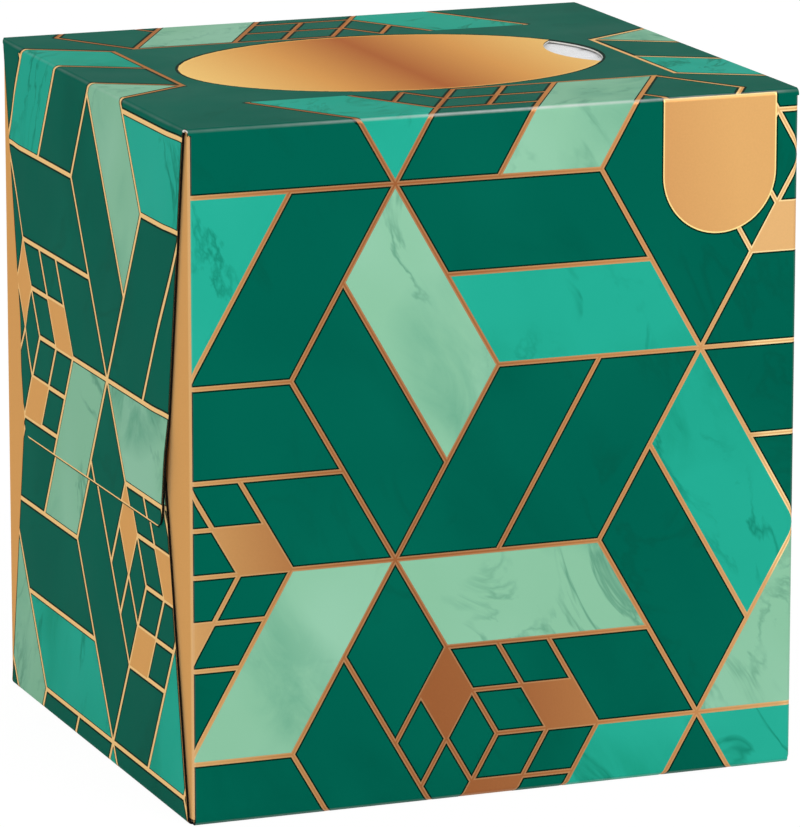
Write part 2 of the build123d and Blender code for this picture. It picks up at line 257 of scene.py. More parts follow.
def clipped(points, outline):
    """the part of a convex polygon inside a convex outline"""
    for start, end in zip(outline, np.roll(outline, -1)):
        if len(points) < 3:
            return points
        inward = 1j * (end - start) / abs(end - start)
        reach = ((points - start) * np.conj(inward)).real
        after, reach_after = np.roll(points, -1), np.roll(reach, -1)
        kept = []
        for point, then, here, there in zip(points, after, reach, reach_after):
            if here >= 0:
                kept.append(point)
            if here * there < 0:
                kept.append(point + (then - point) * here / (here - there))
        points = np.array(kept, complex)
    return points


def polygon_area(points):
    if len(points) < 3:
        return 0.0
    return float(np.sum((points.conj() * np.roll(points, -1)).imag) / 2)


def trapezoid(low, high, half_low, half_high):
    corners = ((-half_low, low), (half_low, low), (half_high, high), (-half_high, high))
    return np.array([complex(*corner) for corner in corners])


def block_cells(start, colours, plain_first):
    """(colour, corners) of the tumbling blocks: hexagons of three rhombi, each in two bands,
    one green and one in its own colour; every other block holds four small rhombi at its
    middle corners, one of them bare, and plain_first says whether the starting one is plain"""
    reach = math.ceil(WIDTH / BLOCK_SIDE) + 2
    cells = []

    def add_cell(colour, middle, k, low, high):
        right, left = direction(2 * k), direction(2 * k + 2)
        shares = [(low[0], low[1]), (high[0], low[1]), (high[0], high[1]), (low[0], high[1])]
        corners = [middle + BLOCK_SIDE * (i * right + j * left) for i, j in shares]
        cells.append((colour, np.array(corners)))

    for m in range(-reach, reach + 1):
        for n in range(-reach, reach + 1):
            middle = start + BLOCK_SIDE * complex(1.5 * m, math.sqrt(3) * (n + m / 2))
            for k in range(3):
                band = colours[(k + m - n) % 3]
                if ((m + n) % 2 == 0) == plain_first:
                    add_cell(band, middle, k, (0, 0), (1, 0.5))
                    add_cell("green", middle, k, (0, 0.5), (1, 1))
                    continue
                add_cell(band, middle, k, (0, 0.5), (1, 1))
                add_cell("green", middle, k, (0.5, 0), (1, 0.5))
                add_cell("green", middle, k, (0, 0), (0.25, 0.25))
                add_cell("green", middle, k, (0, 0.25), (0.25, 0.5))
                add_cell("green", middle, k, (0.25, 0.25), (0.5, 0.5))
    return cells


# The blank's regions: a list of (kind, corners), corners as across + 1j * along
regions = []


def add_region(kind, points):
    points = np.asarray(points, complex)
    area = polygon_area(points)
    if abs(area) > 1e-4:
        regions.append((kind, points if area > 0 else points[::-1]))


# A pattern: where it starts, the colours of a block's three rhombi in turn, and
# whether the block that it starts with is plain
TWO_ROWS = BLOCK_SIDE * math.sqrt(3)
LONG_BLOCKS = (complex(0, LONG_BORDER - TWO_ROWS), ("teal", "mint", "green"), True)
END_BLOCKS = (complex(-0.75 * BLOCK_SIDE, END_BORDER - TWO_ROWS), ("green", "teal", "mint"), False)
FOLD_BAND = 1.0  # the top's green ground reaches this far over its folds

# Half a face's length on the top, how far its pattern runs onto the top, and
# the pattern
LONG_FACE = (HALF_WIDTH, LONG_BORDER, LONG_BLOCKS)
END_FACE = (HALF_DEPTH, END_BORDER, END_BLOCKS)
LOWER_FACE = (None, None, END_BLOCKS)

long_half = END_INNER - CORNER_MARGIN
front_outline = trapezoid(-HEIGHT - FRONT_FOOT_OVERRUN, 0, long_half, long_half)
front_outline = front_outline + FRONT_SIDE_OVERRUN * (front_outline.real > 0)
back_outline = trapezoid(-HEIGHT + BACK_FOOT_MARGIN, 0, long_half, long_half)

flap_start = FLAP_HALF - EDGE_MARGIN
upper_low = -(UPPER_FLAP - UPPER_STRIP)
upper_narrow = FLAP_HALF - UPPER_TAPER * -upper_low / UPPER_FLAP - EDGE_MARGIN
upper_outline = trapezoid(upper_low, 0, upper_narrow, flap_start)
lower_high = LOWER_FLAP - LOWER_STRIP - HEIGHT
lower_narrow = FLAP_HALF - LOWER_TAPER * (LOWER_FLAP - LOWER_STRIP) / LOWER_FLAP - EDGE_MARGIN
lower_outline = trapezoid(-HEIGHT - END_FOOT_OVERRUN, lower_high, flap_start, lower_narrow)


# Each printed face: how its own plane (across it, and up from its upper fold)
# lies on the blank, the outline of its print below that fold, and the rest
def lower_left(q):
    return -(END_MIDDLE + q.imag + HEIGHT) + 1j * (BOTTOM_MIDDLE + q.real)


def lower_right(q):
    return END_MIDDLE + q.imag + HEIGHT + 1j * (BOTTOM_MIDDLE - q.real)


printed_faces = (
    (lambda q: q.real + 1j * (q.imag - HALF_DEPTH), front_outline, *LONG_FACE),
    (lambda q: -q.real + 1j * (HALF_DEPTH - q.imag), back_outline, *LONG_FACE),
    (lambda q: q.imag - HALF_WIDTH - 1j * q.real, upper_outline, *END_FACE),
    (lambda q: HALF_WIDTH - q.imag + 1j * q.real, upper_outline, *END_FACE),
    (lower_left, lower_outline, *LOWER_FACE),
    (lower_right, lower_outline, *LOWER_FACE),
)


def add_cell_regions(colour, points, outline, to_blank, keyline, rim, side_line=0.0):
    """a cell's field of colour, with a dark keyline round it, also along the face's upright
    edges (thinner round the light colours of the ends, none round those of the long faces),
    and the pale rim of the copper round that"""
    add_region("foil_rim", to_blank(clipped(moved_edges(points, LINE_WIDTH / 2 - rim), outline)))
    add_region("keyline", to_blank(clipped(moved_edges(points, LINE_WIDTH / 2), outline)))
    if colour != "green":
        keyline, side_line = (0.0, 0.0) if keyline < END_KEYLINE else (keyline / 2, side_line)
    narrower = outline - np.sign(outline.real) * side_line
    inside = clipped(moved_edges(points, LINE_WIDTH / 2 + keyline), narrower)
    add_region(colour, to_blank(inside))


for to_blank, outline, top_half, border, blocks in printed_faces:
    on_ends = blocks is END_BLOCKS
    keyline, rim = (END_KEYLINE, END_FOIL_RIM) if on_ends else (KEYLINE, FOIL_RIM)
    for colour, points in block_cells(*blocks):
        below = outline
        if border is not None:
            # On the top a field stays only where it is clear of the slanting corners
            strip = trapezoid(0, border + LINE_WIDTH / 2, top_half, top_half)
            on_top = clipped(points, strip)
            area = polygon_area(on_top)
            within = clipped(on_top, trapezoid(0, border, top_half, top_half - border))
            if area > SLIVER and polygon_area(within) >= WHOLE * area:
                over_fold = trapezoid(-FOLD_BAND - 1, border + LINE_WIDTH / 2, top_half, top_half)
                for kind, grow in (("gap_rim", TOP_LINES * keyline), ("gap", 0.0)):
                    wider = moved_edges(points, -LINE_WIDTH / 2 - grow)
                    add_region(kind, to_blank(clipped(wider, over_fold)))
                add_cell_regions(
                    colour, points, strip, to_blank, TOP_LINES * keyline, TOP_LINES * rim
                )
            elif area > SLIVER:
                colour = "green"
                below_fold = trapezoid(-2 * HEIGHT, -FOLD_BAND, 2 * top_half, 2 * top_half)
                below = clipped(outline, below_fold)
        add_cell_regions(colour, points, below, to_blank, keyline, rim, keyline)

# The upper flap's lower edge: a pale line, and on the lower flap under it a dark line of painted
# shadow
shade_length = FLAP_HALF - UPPER_TAPER - SHADE_INSET
shade = trapezoid(
    -UPPER_FLAP - SHADE_HALF, -UPPER_FLAP + SHADE_HALF, shade_length, shade_length
)
pale_strip = trapezoid(-UPPER_FLAP - 1, upper_low + 0.02, FLAP_HALF, FLAP_HALF)
for upper, lower in zip(printed_faces[2:4], printed_faces[4:6]):
    add_region("foil_rim", upper[0](pale_strip))
    add_region("edge_shade", lower[0](shade))

ground_depth, ground_width = HALF_DEPTH + FOLD_BAND, HALF_WIDTH + FOLD_BAND
add_region("ground", trapezoid(-ground_depth, ground_depth, ground_width, ground_width))


# Oval, finger hole, perforation cuts and tag
OVAL_STEPS, HOLE_POINTS, TAG_POINTS = 144, 25, 33
FINE_POINTS = 4001  # along the oval, to find places by their arc length


def oval_points(angles, grow=0.0):
    across = (OVAL_HALF_WIDTH + grow) * np.cos(angles)
    return across + 1j * (OVAL_HALF_DEPTH + grow) * np.sin(angles)


round_the_oval = np.linspace(0, 2 * math.pi, OVAL_STEPS + 1)[:-1]
add_region("oval_rim", oval_points(round_the_oval, OVAL_KEYLINE))
add_region("oval", oval_points(round_the_oval))
add_region("oval_inside", oval_points(round_the_oval, -OVAL_RIM))
hole_angle = math.asin(HOLE_LENGTH / 2 / OVAL_HALF_DEPTH)
hole_radius = ((HOLE_LENGTH / 2) ** 2 + HOLE_BULGE**2) / (2 * HOLE_BULGE)
hole_centre = oval_points(hole_angle).real - HOLE_BULGE + hole_radius
half_turn = math.asin(HOLE_LENGTH / 2 / hole_radius)
outer_edge = oval_points(np.linspace(-hole_angle, hole_angle, HOLE_POINTS))
inner_swing = math.pi - np.linspace(half_turn, -half_turn, HOLE_POINTS)
inner_edge = hole_centre + hole_radius * np.exp(1j * inner_swing)
add_region("hole", np.concatenate([outer_edge, inner_edge[1:-1]]))

fine_angles = np.linspace(hole_angle, 2 * math.pi - hole_angle, FINE_POINTS)
arc_length = np.concatenate([[0], np.cumsum(np.abs(np.diff(oval_points(fine_angles))))])
cut_count = round(float(arc_length[-1]) / (CUT_LENGTH + BRIDGE))
cut_places = (np.arange(cut_count) + 0.5) * arc_length[-1] / cut_count
half_cut = (CUT_LENGTH + 1j * CUT_WIDTH) / 2
for place in cut_places:
    where = np.interp(place, arc_length, fine_angles)
    ahead = oval_points(where + 0.001) - oval_points(where - 0.001)
    ahead /= abs(ahead)
    corners = np.array([-half_cut, half_cut.conjugate(), half_cut, -half_cut.conjugate()])
    add_region("hole", oval_points(where) + ahead * corners)

tag_centre = END_INNER - TAG_INSET
tag_radius = TAG_WIDTH / 2
swing = np.linspace(math.pi, 2 * math.pi, TAG_POINTS)
for kind, grow in (("tag_rim", KEYLINE), ("tag", 0.0), ("tag_inside", -FOIL_RIM)):
    half_tag = tag_radius + grow
    end = complex(tag_centre, -(TAG_DROP - tag_radius)) + half_tag * np.exp(1j * swing)
    top = [complex(tag_centre + half_tag, grow), complex(tag_centre - half_tag, grow)]
    add_region(kind, printed_faces[0][0](np.concatenate([end, top])))

# Outline of the blank


def rounded_corner(corner, before, after):
    """points of a flap corner's fillet between two straight edges"""
    first, second = (before - corner) / abs(before - corner), (after - corner) / abs(after - corner)
    half = math.acos(max(-1.0, min(1.0, (first * second.conjugate()).real))) / 2
    reach = FLAP_CORNER / math.tan(half)
    middle = corner + (first + second) / abs(first + second) * FLAP_CORNER / math.sin(half)
    start, end = corner + first * reach - middle, corner + second * reach - middle
    turn = (end / start) ** (np.arange(9) / 8)
    return list(middle + start * turn)


def flap_corners(face, middle, length, taper):
    """one flap from its panel's tube end out and back, going down the blank"""
    free, high, low = face + length, middle + FLAP_HALF, middle - FLAP_HALF
    start = [complex(TUBE_END, high), complex(face, high)]
    first, second = complex(free, high - taper), complex(free, low + taper)
    end = [complex(face, low), complex(TUBE_END, low)]
    rounded = rounded_corner(first, start[1], second) + rounded_corner(second, first, end[0])
    return start + rounded + end


def minor_corners(high, low):
    free = END_INNER + MINOR_FLAP
    corners = ((TUBE_END, high), (free, high), (free, low), (TUBE_END, low))
    return [complex(*corner) for corner in corners]


def fold_corners(line, end, way):
    """a tube fold's own end, nearly out to the flaps' folds, going down the blank (way 1 where
    the upright panel comes first, -1 where it comes last)"""
    first, last = line + way * (FOLD_ROOM - 0.01), line - way * (FLAP_INSET - HAIR)
    return [complex(end, max(first, last)), complex(end, min(first, last))]


right_side = (
    [complex(TUBE_END, BACK_END)]
    + minor_corners(HALF_DEPTH + HEIGHT - MINOR_START, HALF_DEPTH + MINOR_START)
    + fold_corners(HALF_DEPTH, HALF_WIDTH - FLAP_FOLD, 1)
    + flap_corners(HALF_WIDTH, 0, UPPER_FLAP, UPPER_TAPER)
    + fold_corners(-HALF_DEPTH, HALF_WIDTH - FLAP_FOLD, -1)
    + minor_corners(-HALF_DEPTH - MINOR_START, FRONT_FOOT + MINOR_START)
    + fold_corners(FRONT_FOOT, END_MIDDLE - FLAP_FOLD, 1)
    + flap_corners(END_MIDDLE, BOTTOM_MIDDLE, LOWER_FLAP, LOWER_TAPER)
    + [
        # down to the glued strip, whose ends taper
        complex(END_MIDDLE - FLAP_FOLD, BOTTOM_MIDDLE - FLAP_HALF - HAIR),
        complex(END_MIDDLE - FLAP_FOLD, GLUE_FOLD - PANEL_FOLD),
        complex(TUBE_END - 1, GLUE_FOLD - PANEL_FOLD - 0.3),
        complex(TUBE_END - 4, GLUE_END),
    ]
)
left_side = [-p.conjugate() for p in right_side[::-1]]
add_region("blank", right_side + left_side)

# Lines, from one (across, along) to another, that cut every region into the
# short facets of the folds
FACETS = np.linspace(-1, 1, 9)
fold_lines = []
for line in (HALF_DEPTH, -HALF_DEPTH, FRONT_FOOT, GLUE_FOLD):
    for at in line + PANEL_FOLD * FACETS:
        fold_lines.append((-HALF_WIDTH, at, HALF_WIDTH, at))
for side in (-1, 1):
    for face, high, low in (
        (HALF_WIDTH, FLAP_HALF, -FLAP_HALF),
        (END_MIDDLE, BOTTOM_MIDDLE + FLAP_HALF, BOTTOM_MIDDLE - FLAP_HALF),
        (END_INNER, HALF_DEPTH + HEIGHT - MINOR_START, HALF_DEPTH + MINOR_START),
        (END_INNER, -HALF_DEPTH - MINOR_START, FRONT_FOOT + MINOR_START),
    ):
        for at in face + FLAP_FOLD * FACETS:
            fold_lines.append((side * at, high, side * at, low))

# Lines along the upper flap's pressed edges
pressed_drops = [np.linspace(6, PRESSED_FADE[0], 6), np.linspace(*PRESSED_FADE, 5)[1:]]
for side in (-1, 1):
    top_end, free_end = side * TUBE_END, side * (HALF_WIDTH + UPPER_FLAP)
    for inset in np.linspace(PRESSED_FLAT, PRESSED_BAND, 5):
        for edge in (-1, 1):
            high, low = edge * (FLAP_HALF - inset), edge * (FLAP_HALF - UPPER_TAPER - inset)
            fold_lines.append((top_end, high, free_end, low))
    for drop in np.concatenate(pressed_drops):
        at = side * (HALF_WIDTH + drop)
        fold_lines.append((at, -FLAP_HALF, at, FLAP_HALF))

# All regions and lines together, cut into triangles
line_ends = np.array(fold_lines).view(complex).ravel()
corner_list = np.concatenate([points for _, points in regions] + [line_ends])
face_list, at = [], 0
for _, points in regions:
    face_list.append(list(range(at, at + len(points))))
    at += len(points)
edge_list = [(at + 2 * i, at + 2 * i + 1) for i in range(len(fold_lines))]
flat_verts, _, flat_faces, _, _, face_origins = delaunay_2d_cdt(
    [Vector((p.real, p.imag)) for p in corner_list], edge_list, face_list, 0, 1e-5, True
)
flat = np.array([tuple(v) for v in flat_verts])
triangles = np.array(flat_faces)
kinds = [kind for kind, _ in regions]
inside = {kind: np.zeros(len(triangles), bool) for kind in set(kinds)}
for number, origins in enumerate(face_origins):
    for origin in origins:
        inside[kinds[origin]][number] = True

# What each triangle shows; later lines lie over earlier ones
sheet_here = inside["blank"] & ~inside["hole"]
shown = np.full(len(triangles), "copper", dtype="<U12")
ground, foil_rim = inside["ground"], inside["foil_rim"]
gap = ground & inside["gap"]
shown[foil_rim] = "foil_rim"
shown[ground] = "green"
shown[ground & inside["gap_rim"]] = "keyline"
shown[gap] = "copper"
shown[gap & foil_rim] = "foil_rim"
for kind in ("keyline", "green", "teal", "mint"):
    shown[inside[kind]] = kind
printed = ~np.isin(shown, ("copper", "foil_rim"))
# the painted shadow under the upper flaps' edges is drawn in the keyline's ink
shown[inside["edge_shade"] | (inside["oval_rim"] | inside["tag_rim"]) & printed] = "keyline"
shown[inside["oval"] | inside["tag"]] = "oval_rim"  # the two rims have one ink
shown[inside["oval_inside"]] = "oval"
shown[inside["tag_inside"]] = "tag"
shown[~sheet_here] = ""
print(f"blank: {len(flat)} points, {len(triangles)} triangles")


def add_object(name, data):
    made = bpy.data.objects.new(name, data)
    bpy.context.scene.collection.objects.link(made)
    return made


def mesh_object(name, points, faces, *materials):
    mesh = bpy.data.meshes.new(name)
    mesh.from_pydata(points, [], faces)
    for material in materials:
        mesh.materials.append(material)
    return add_object(name, mesh)


def walls_round(sides, count):
    """the sides that only one face has, and quads that join each of them to the same side of
    the surface's copy, whose points come count places later"""
    keys, turned = sides[:, 0] * count + sides[:, 1], sides[:, 1] * count + sides[:, 0]
    rim = sides[~np.isin(keys, turned)]
    return rim, np.stack([rim[:, 1], rim[:, 0], rim[:, 0] + count, rim[:, 1] + count], axis=1)


def sheet_piece(name, chosen, outer_depth, inner_depth, materials, slots_of):
    """closed sheet over the chosen triangles: their printed side, the same triangles turned
    over below it, and a wall along every edge that only one of them has

    slots_of gives the material number of the printed side, per triangle. Of
    a card's last three materials the underside takes the first, walls in the
    top panel and on the start of its folds the second, all others the third.
    """
    used, corners = np.unique(triangles[chosen], return_inverse=True)
    corners = corners.reshape(-1, 3)
    across, along = flat[used].T
    outer, outer_normals = folded(across, along, outer_depth)
    inner, inner_normals = folded(across, along, inner_depth)
    count = len(used)
    sides = np.concatenate([corners[:, [0, 1]], corners[:, [1, 2]], corners[:, [2, 0]]])
    rim, walls = walls_round(sides, count)
    points = np.concatenate([outer, inner])
    faces = corners.tolist() + (corners[:, ::-1] + count).tolist() + walls.tolist()
    piece = mesh_object(name, points * MM, faces, *materials)
    first, second, _, fourth = (points[walls[:, i]] for i in range(4))
    wall_normals = np.cross(second - first, fourth - first)
    wall_normals /= np.maximum(np.linalg.norm(wall_normals, axis=1, keepdims=True), 1e-12)
    loop_normals = np.concatenate(
        [
            outer_normals[corners].reshape(-1, 3),
            -inner_normals[corners[:, ::-1]].reshape(-1, 3),
            np.repeat(wall_normals, 4, axis=0),
        ]
    )
    numbers = slots_of(chosen)
    last = len(materials) - 1
    rim_across, rim_along = np.abs(across[rim].mean(axis=1)), along[rim].mean(axis=1)
    in_the_top = rim_across < HALF_WIDTH + 0.6 * FLAP_FOLD
    in_the_top &= np.abs(rim_along) < HALF_DEPTH + 0.3
    wall_numbers = np.where(in_the_top, max(last - 1, 0), last)
    number = np.concatenate([numbers, np.full(len(corners), max(last - 2, 0)), wall_numbers])
    mesh = piece.data
    mesh.polygons.foreach_set("material_index", number.astype(np.int32))
    mesh.polygons.foreach_set("use_smooth", np.ones(len(number), bool))
    # the painted highlight and wear along the folds' crests, as point attributes
    for key, strength in (("highlight_wear", fold_highlight_wear), ("highlight_rub", fold_highlight_rub)):
        values = np.tile(strength(across, along), 2).astype(np.float32)
        mesh.attributes.new(key, "FLOAT", "POINT").data.foreach_set("value", values)
    mesh.normals_split_custom_set(loop_normals.tolist())
    mesh.update()
    return piece


# Materials


def fill(tree, node, values):
    """a node's inputs, by name or number, linked to sockets or set to constants"""
    for key, value in values.items():
        if isinstance(value, bpy.types.NodeSocket):
            tree.links.new(value, node.inputs[key])
        else:
            node.inputs[key].default_value = value


def add_node(tree, kind, values, **settings):
    node = tree.nodes.new(kind)
    for key, value in settings.items():
        setattr(node, key, value)
    fill(tree, node, values)
    return node


def new_material(name, roughness, specular, metallic=0.0):
    material = bpy.data.materials.new(name)
    material.use_nodes = True
    tree = material.node_tree
    shader = tree.nodes["Principled BSDF"]
    gloss = {"Roughness": roughness, "Specular IOR Level": specular, "Metallic": metallic}
    fill(tree, shader, gloss)
    return material, tree, shader


def ramp(tree, value, stops, interpolation="EASE"):
    node = add_node(tree, "ShaderNodeValToRGB", {"Fac": value})
    node.color_ramp.interpolation = interpolation
    elements = node.color_ramp.elements
    while len(elements) < len(stops):
        elements.new(0.5)
    for element, (place, colour) in zip(elements, stops):
        element.position = place
        element.color = colour
    return node.outputs["Color"]


def mixed(tree, share, first, second, mode="MIX"):
    values = {0: share, 6: first, 7: second}
    return add_node(tree, "ShaderNodeMix", values, data_type="RGBA", blend_type=mode).outputs[2]


def placed(tree, shift=(0, 0, 0), turn=(0, 0, 0), stretch=(1, 1, 1), kind="POINT"):
    """Object coordinates: stretched, turned and shifted (POINT), or seen from axes that are
    shifted, turned and stretched (TEXTURE)"""
    coordinates = tree.nodes.new("ShaderNodeTexCoord").outputs["Object"]
    values = {"Vector": coordinates, "Location": shift, "Rotation": turn, "Scale": stretch}
    return add_node(tree, "ShaderNodeMapping", values, vector_type=kind).outputs["Vector"]


def noise(tree, vector, scale, detail=4.0, roughness=0.5, distortion=0.0):
    keys = ("Vector", "Scale", "Detail", "Roughness", "Distortion")
    values = dict(zip(keys, (vector, scale, detail, roughness, distortion)))
    return add_node(tree, "ShaderNodeTexNoise", values).outputs["Fac"]


def ranged(tree, value, low, high, to_low=0.0, to_high=1.0):
    """a value carried from one range to another, and kept inside it"""
    keys = ("Value", "From Min", "From Max", "To Min", "To Max")
    values = dict(zip(keys, (value, low, high, to_low, to_high)))
    return add_node(tree, "ShaderNodeMapRange", values).outputs[0]


def joined(tree, operation, *values):
    """values taken together by one operation, such as their product"""
    result = values[0]
    for value in values[1:]:
        node = add_node(tree, "ShaderNodeMath", {0: result, 1: value}, operation=operation)
        result = node.outputs[0]
    return result


def bumped(tree, height, strength):
    values = {"Height": height, "Strength": strength, "Distance": 0.0001}
    return add_node(tree, "ShaderNodeBump", values).outputs["Normal"]


def highlight_worn_folds(tree, colour, highlight_worn, amount):
    """the colour, pale along the crests of the folds, unevenly: painted highlight and wear"""
    crest, highlight_rub = (
        add_node(tree, "ShaderNodeAttribute", {}, attribute_name=name).outputs["Fac"]
        for name in ("highlight_wear", "highlight_rub")
    )
    crest = ranged(tree, crest, 0.4, 1.0, 0.0, amount)
    patchy = ranged(tree, noise(tree, placed(tree), 160.0, 4.0), 0.35, 0.65, 0.55, 1.0)
    return mixed(tree, joined(tree, "MULTIPLY", crest, highlight_rub, patchy), colour, highlight_worn)


INK_SPECULAR = 0.003
HIGHLIGHT_RUBBED_INK, HIGHLIGHT_RUBBED_SHARE, INK_HIGHLIGHT_WEAR = 0.8, 0.88, 0.9  # how pale and how strong the painted highlight and wear on a fold's crest get


def marbled_ink(name, tones, clouding, veining, scale, shift, roughness=0.4):
    """varnished ink with marbling along slanting streaks: a smooth base that drifts to a paler
    tone, broken clouds of a darker tone in places, and in and near the clouds thin veins where
    a stretched, distorted noise crosses its middle value"""
    base, pale, cloud, vein = (srgb(*tone) for tone in tones)
    material, tree, shader = new_material(name, roughness, INK_SPECULAR)
    slant = (0.0, math.radians(50), math.radians(45))
    where = placed(tree, shift, slant, (2.6, 1.0, 1.0), "TEXTURE")

    def clouds(size, *shape):
        return noise(tree, where, scale * size, *shape)

    drift = ramp(tree, clouds(0.4, 2.0), [(0.38, base), (0.66, pale)])
    in_places = ranged(tree, clouds(0.42, 2.0, 0.5, 0.6), 0.52, 0.68)
    broken = ranged(tree, clouds(1.3, 6.0, 0.6, 1.0), 0.38, 0.62, 0.25, clouding)
    clouded = mixed(tree, joined(tree, "MULTIPLY", in_places, broken), drift, cloud)
    crossing = [(0.468, (0, 0, 0, 1)), (0.5, (1, 1, 1, 1)), (0.532, (0, 0, 0, 1))]
    thin = ramp(tree, clouds(0.75, 5.0, 0.58, 0.9), crossing, "LINEAR")
    near = ranged(tree, clouds(0.55, 3.0, 0.6, 0.8), 0.5, 0.62, 0.0, veining)
    veined = mixed(tree, joined(tree, "MULTIPLY", thin, near), clouded, vein)
    # pale tone of the painted highlight and wear on the folds
    highlight_worn = tuple((1 - HIGHLIGHT_RUBBED_SHARE) * c + HIGHLIGHT_RUBBED_SHARE * HIGHLIGHT_RUBBED_INK for c in base[:3]) + (1.0,)
    uneven = noise(tree, placed(tree), 60.0, 3.0)
    satin = ranged(tree, uneven, 0.3, 0.7, roughness - 0.04, roughness + 0.04)
    colour = highlight_worn_folds(tree, veined, highlight_worn, INK_HIGHLIGHT_WEAR)
    fill(tree, shader, {"Base Color": colour, "Roughness": satin})
    return material


# Specular tint of the copper, and the pale tone of its painted highlight and wear on the folds
COPPER_TINT, COPPER_HIGHLIGHT_RUBBED = srgb(222, 158, 92), srgb(240, 226, 204)
COPPER_RISE = 0.12  # how much of the height adds to the place along the width, so the painted light also changes with height
GRAIN = [(0.3, (*[0.982] * 3, 1)), (0.7, (*[1.016] * 3, 1))]


def copper_ink(name, stops, both_ways=False):
    """metallic ink: its tone drifts along the box's width, and between the ends a little with
    height, as (place in millimetres, colour) stops say: painted light and reflection on the metal,
    under the faint grain of its flakes"""
    material, tree, shader = new_material(name, 0.42, 0.015, 0.6)
    where = placed(tree)
    axes = add_node(tree, "ShaderNodeSeparateXYZ", {0: where}).outputs
    place = add_node(tree, "ShaderNodeMath", {0: axes["X"]}, operation="ABSOLUTE").outputs[0]
    if not both_ways:
        between_ends = ranged(tree, place, (HALF_WIDTH - 1) * MM, (HALF_WIDTH - 2) * MM)
        height = joined(tree, "MULTIPLY", axes["Z"], between_ends)
        values = {0: height, 1: COPPER_RISE, 2: axes["X"]}
        place = add_node(tree, "ShaderNodeMath", values, operation="MULTIPLY_ADD").outputs[0]
    low, high = stops[0][0], stops[-1][0]
    shares = [((at - low) / (high - low), colour) for at, colour in stops]
    gradient = ramp(tree, ranged(tree, place, low * MM, high * MM), shares, "LINEAR")
    grain = ramp(tree, noise(tree, where, 2600.0, 2.0), GRAIN, "LINEAR")
    colour = mixed(tree, 1.0, gradient, grain, "MULTIPLY")
    highlight_worn = highlight_worn_folds(tree, colour, COPPER_HIGHLIGHT_RUBBED, 0.8)
    fill(tree, shader, {"Base Color": highlight_worn, "Specular Tint": COPPER_TINT})
    return material


def board_material(name, colour, deep, scale, shaded_above=None):
    """bare card: fine fibres, a mottle of two tones, and above a height in millimetres another
    colour"""
    material, tree, shader = new_material(name, 0.85, 0.1)
    fibres = noise(tree, placed(tree, stretch=(1.0, 1.0, 0.35)), scale, 6.0, 0.65)
    tone = ramp(tree, fibres, [(0.3, deep), (0.7, colour)])
    # a dark band above a height: painted shade
    if shaded_above:
        height, colour_above = shaded_above
        axes = add_node(tree, "ShaderNodeSeparateXYZ", {0: placed(tree)}).outputs
        above = ranged(tree, axes["Z"], (height - 0.02) * MM, (height + 0.02) * MM)
        tone = mixed(tree, above, tone, colour_above)
    fill(tree, shader, {"Base Color": tone, "Normal": bumped(tree, fibres, 0.15)})
    return material


dark_green = marbled_ink(
    "dark_green_ink",
    ((0, 98, 80), (2, 103, 84), (0, 88, 71), (8, 80, 62)),
    clouding=0.7,
    veining=0.3,
    scale=60.0,
    shift=(0.3, 0.1, 0),
)
teal = marbled_ink(
    "teal_ink",
    ((36, 173, 148), (44, 178, 155), (26, 154, 127), (16, 128, 104)),
    clouding=1.0,
    veining=0.75,
    scale=70.0,
    shift=(0.1, 0.7, 0.2),
)
mint = marbled_ink(
    "mint_ink",
    ((141, 198, 164), (152, 206, 176), (110, 174, 144), (88, 150, 124)),
    clouding=1.0,
    veining=0.75,
    scale=74.0,
    shift=(0.5, 0.2, 0.9),
)
keyline_ink = marbled_ink(
    "keyline_ink",
    ((3, 40, 28), (5, 44, 32), (2, 36, 26), (6, 46, 34)),
    clouding=0.5,
    veining=0.2,
    scale=60.0,
    shift=(0, 0, 0),
    roughness=0.45,
)

# Copper tones along the width: painted light, lighter where the light falls on the metallic ink
ACROSS_TONES = [
    (-60, srgb(226, 178, 118)),
    (-57.7, srgb(222, 174, 114)),
    (-57, srgb(212, 163, 104)),
    (-44, srgb(192, 140, 85)),
    (-28, srgb(166, 106, 62)),
    (-10, srgb(155, 94, 54)),
    (8, srgb(163, 103, 61)),
    (24, srgb(181, 121, 72)),
    (42, srgb(197, 138, 85)),
    (57, srgb(212, 162, 106)),
    (60, srgb(226, 178, 118)),
]
# Thin lines look paler, most on the two ends; their tones carry the same painted light
PALE_COPPER = srgb(255, 232, 176)
RIM_TONES = [
    (at, tuple(0.88 * c + 0.12 * w for c, w in zip(tone, PALE_COPPER)))
    for at, tone in ACROSS_TONES
]
RIM_TONES[0] = (-60, srgb(250, 218, 158))
RIM_TONES[1] = (-57.7, srgb(248, 214, 154))
RIM_TONES[-1] = (60, srgb(250, 218, 158))
copper = copper_ink("copper_ink", ACROSS_TONES)
copper_rim = copper_ink("copper_ink_rim", RIM_TONES)
# The tag's, oval's and oval rim's tones are painted light and reflection too: pale at the oval's
# ends, darker in its middle
tag_copper = copper_ink("tag_copper_ink", [(30, srgb(200, 141, 86)), (60, srgb(222, 170, 106))])
OVAL_TONES = [(0, srgb(178, 110, 64)), (18, srgb(229, 177, 108)), (40, srgb(255, 226, 150))]
OVAL_RIM_TONES = [(0, srgb(240, 184, 110)), (40, srgb(255, 228, 152))]
oval_copper = copper_ink("oval_copper_ink", OVAL_TONES, both_ways=True)
oval_rim_copper = copper_ink("oval_rim_copper_ink", OVAL_RIM_TONES, both_ways=True)
raw_board = board_material("raw_board", srgb(214, 210, 200), srgb(196, 191, 180), 900.0)
SHADED_EDGE_TOP = (HEIGHT - 0.17, srgb(30, 48, 42))  # dark band along the top of the card's cut edge: painted shade
pale_edge = board_material(
    "pale_cut_edge", srgb(244, 242, 238), srgb(228, 224, 216), 1500.0, SHADED_EDGE_TOP
)
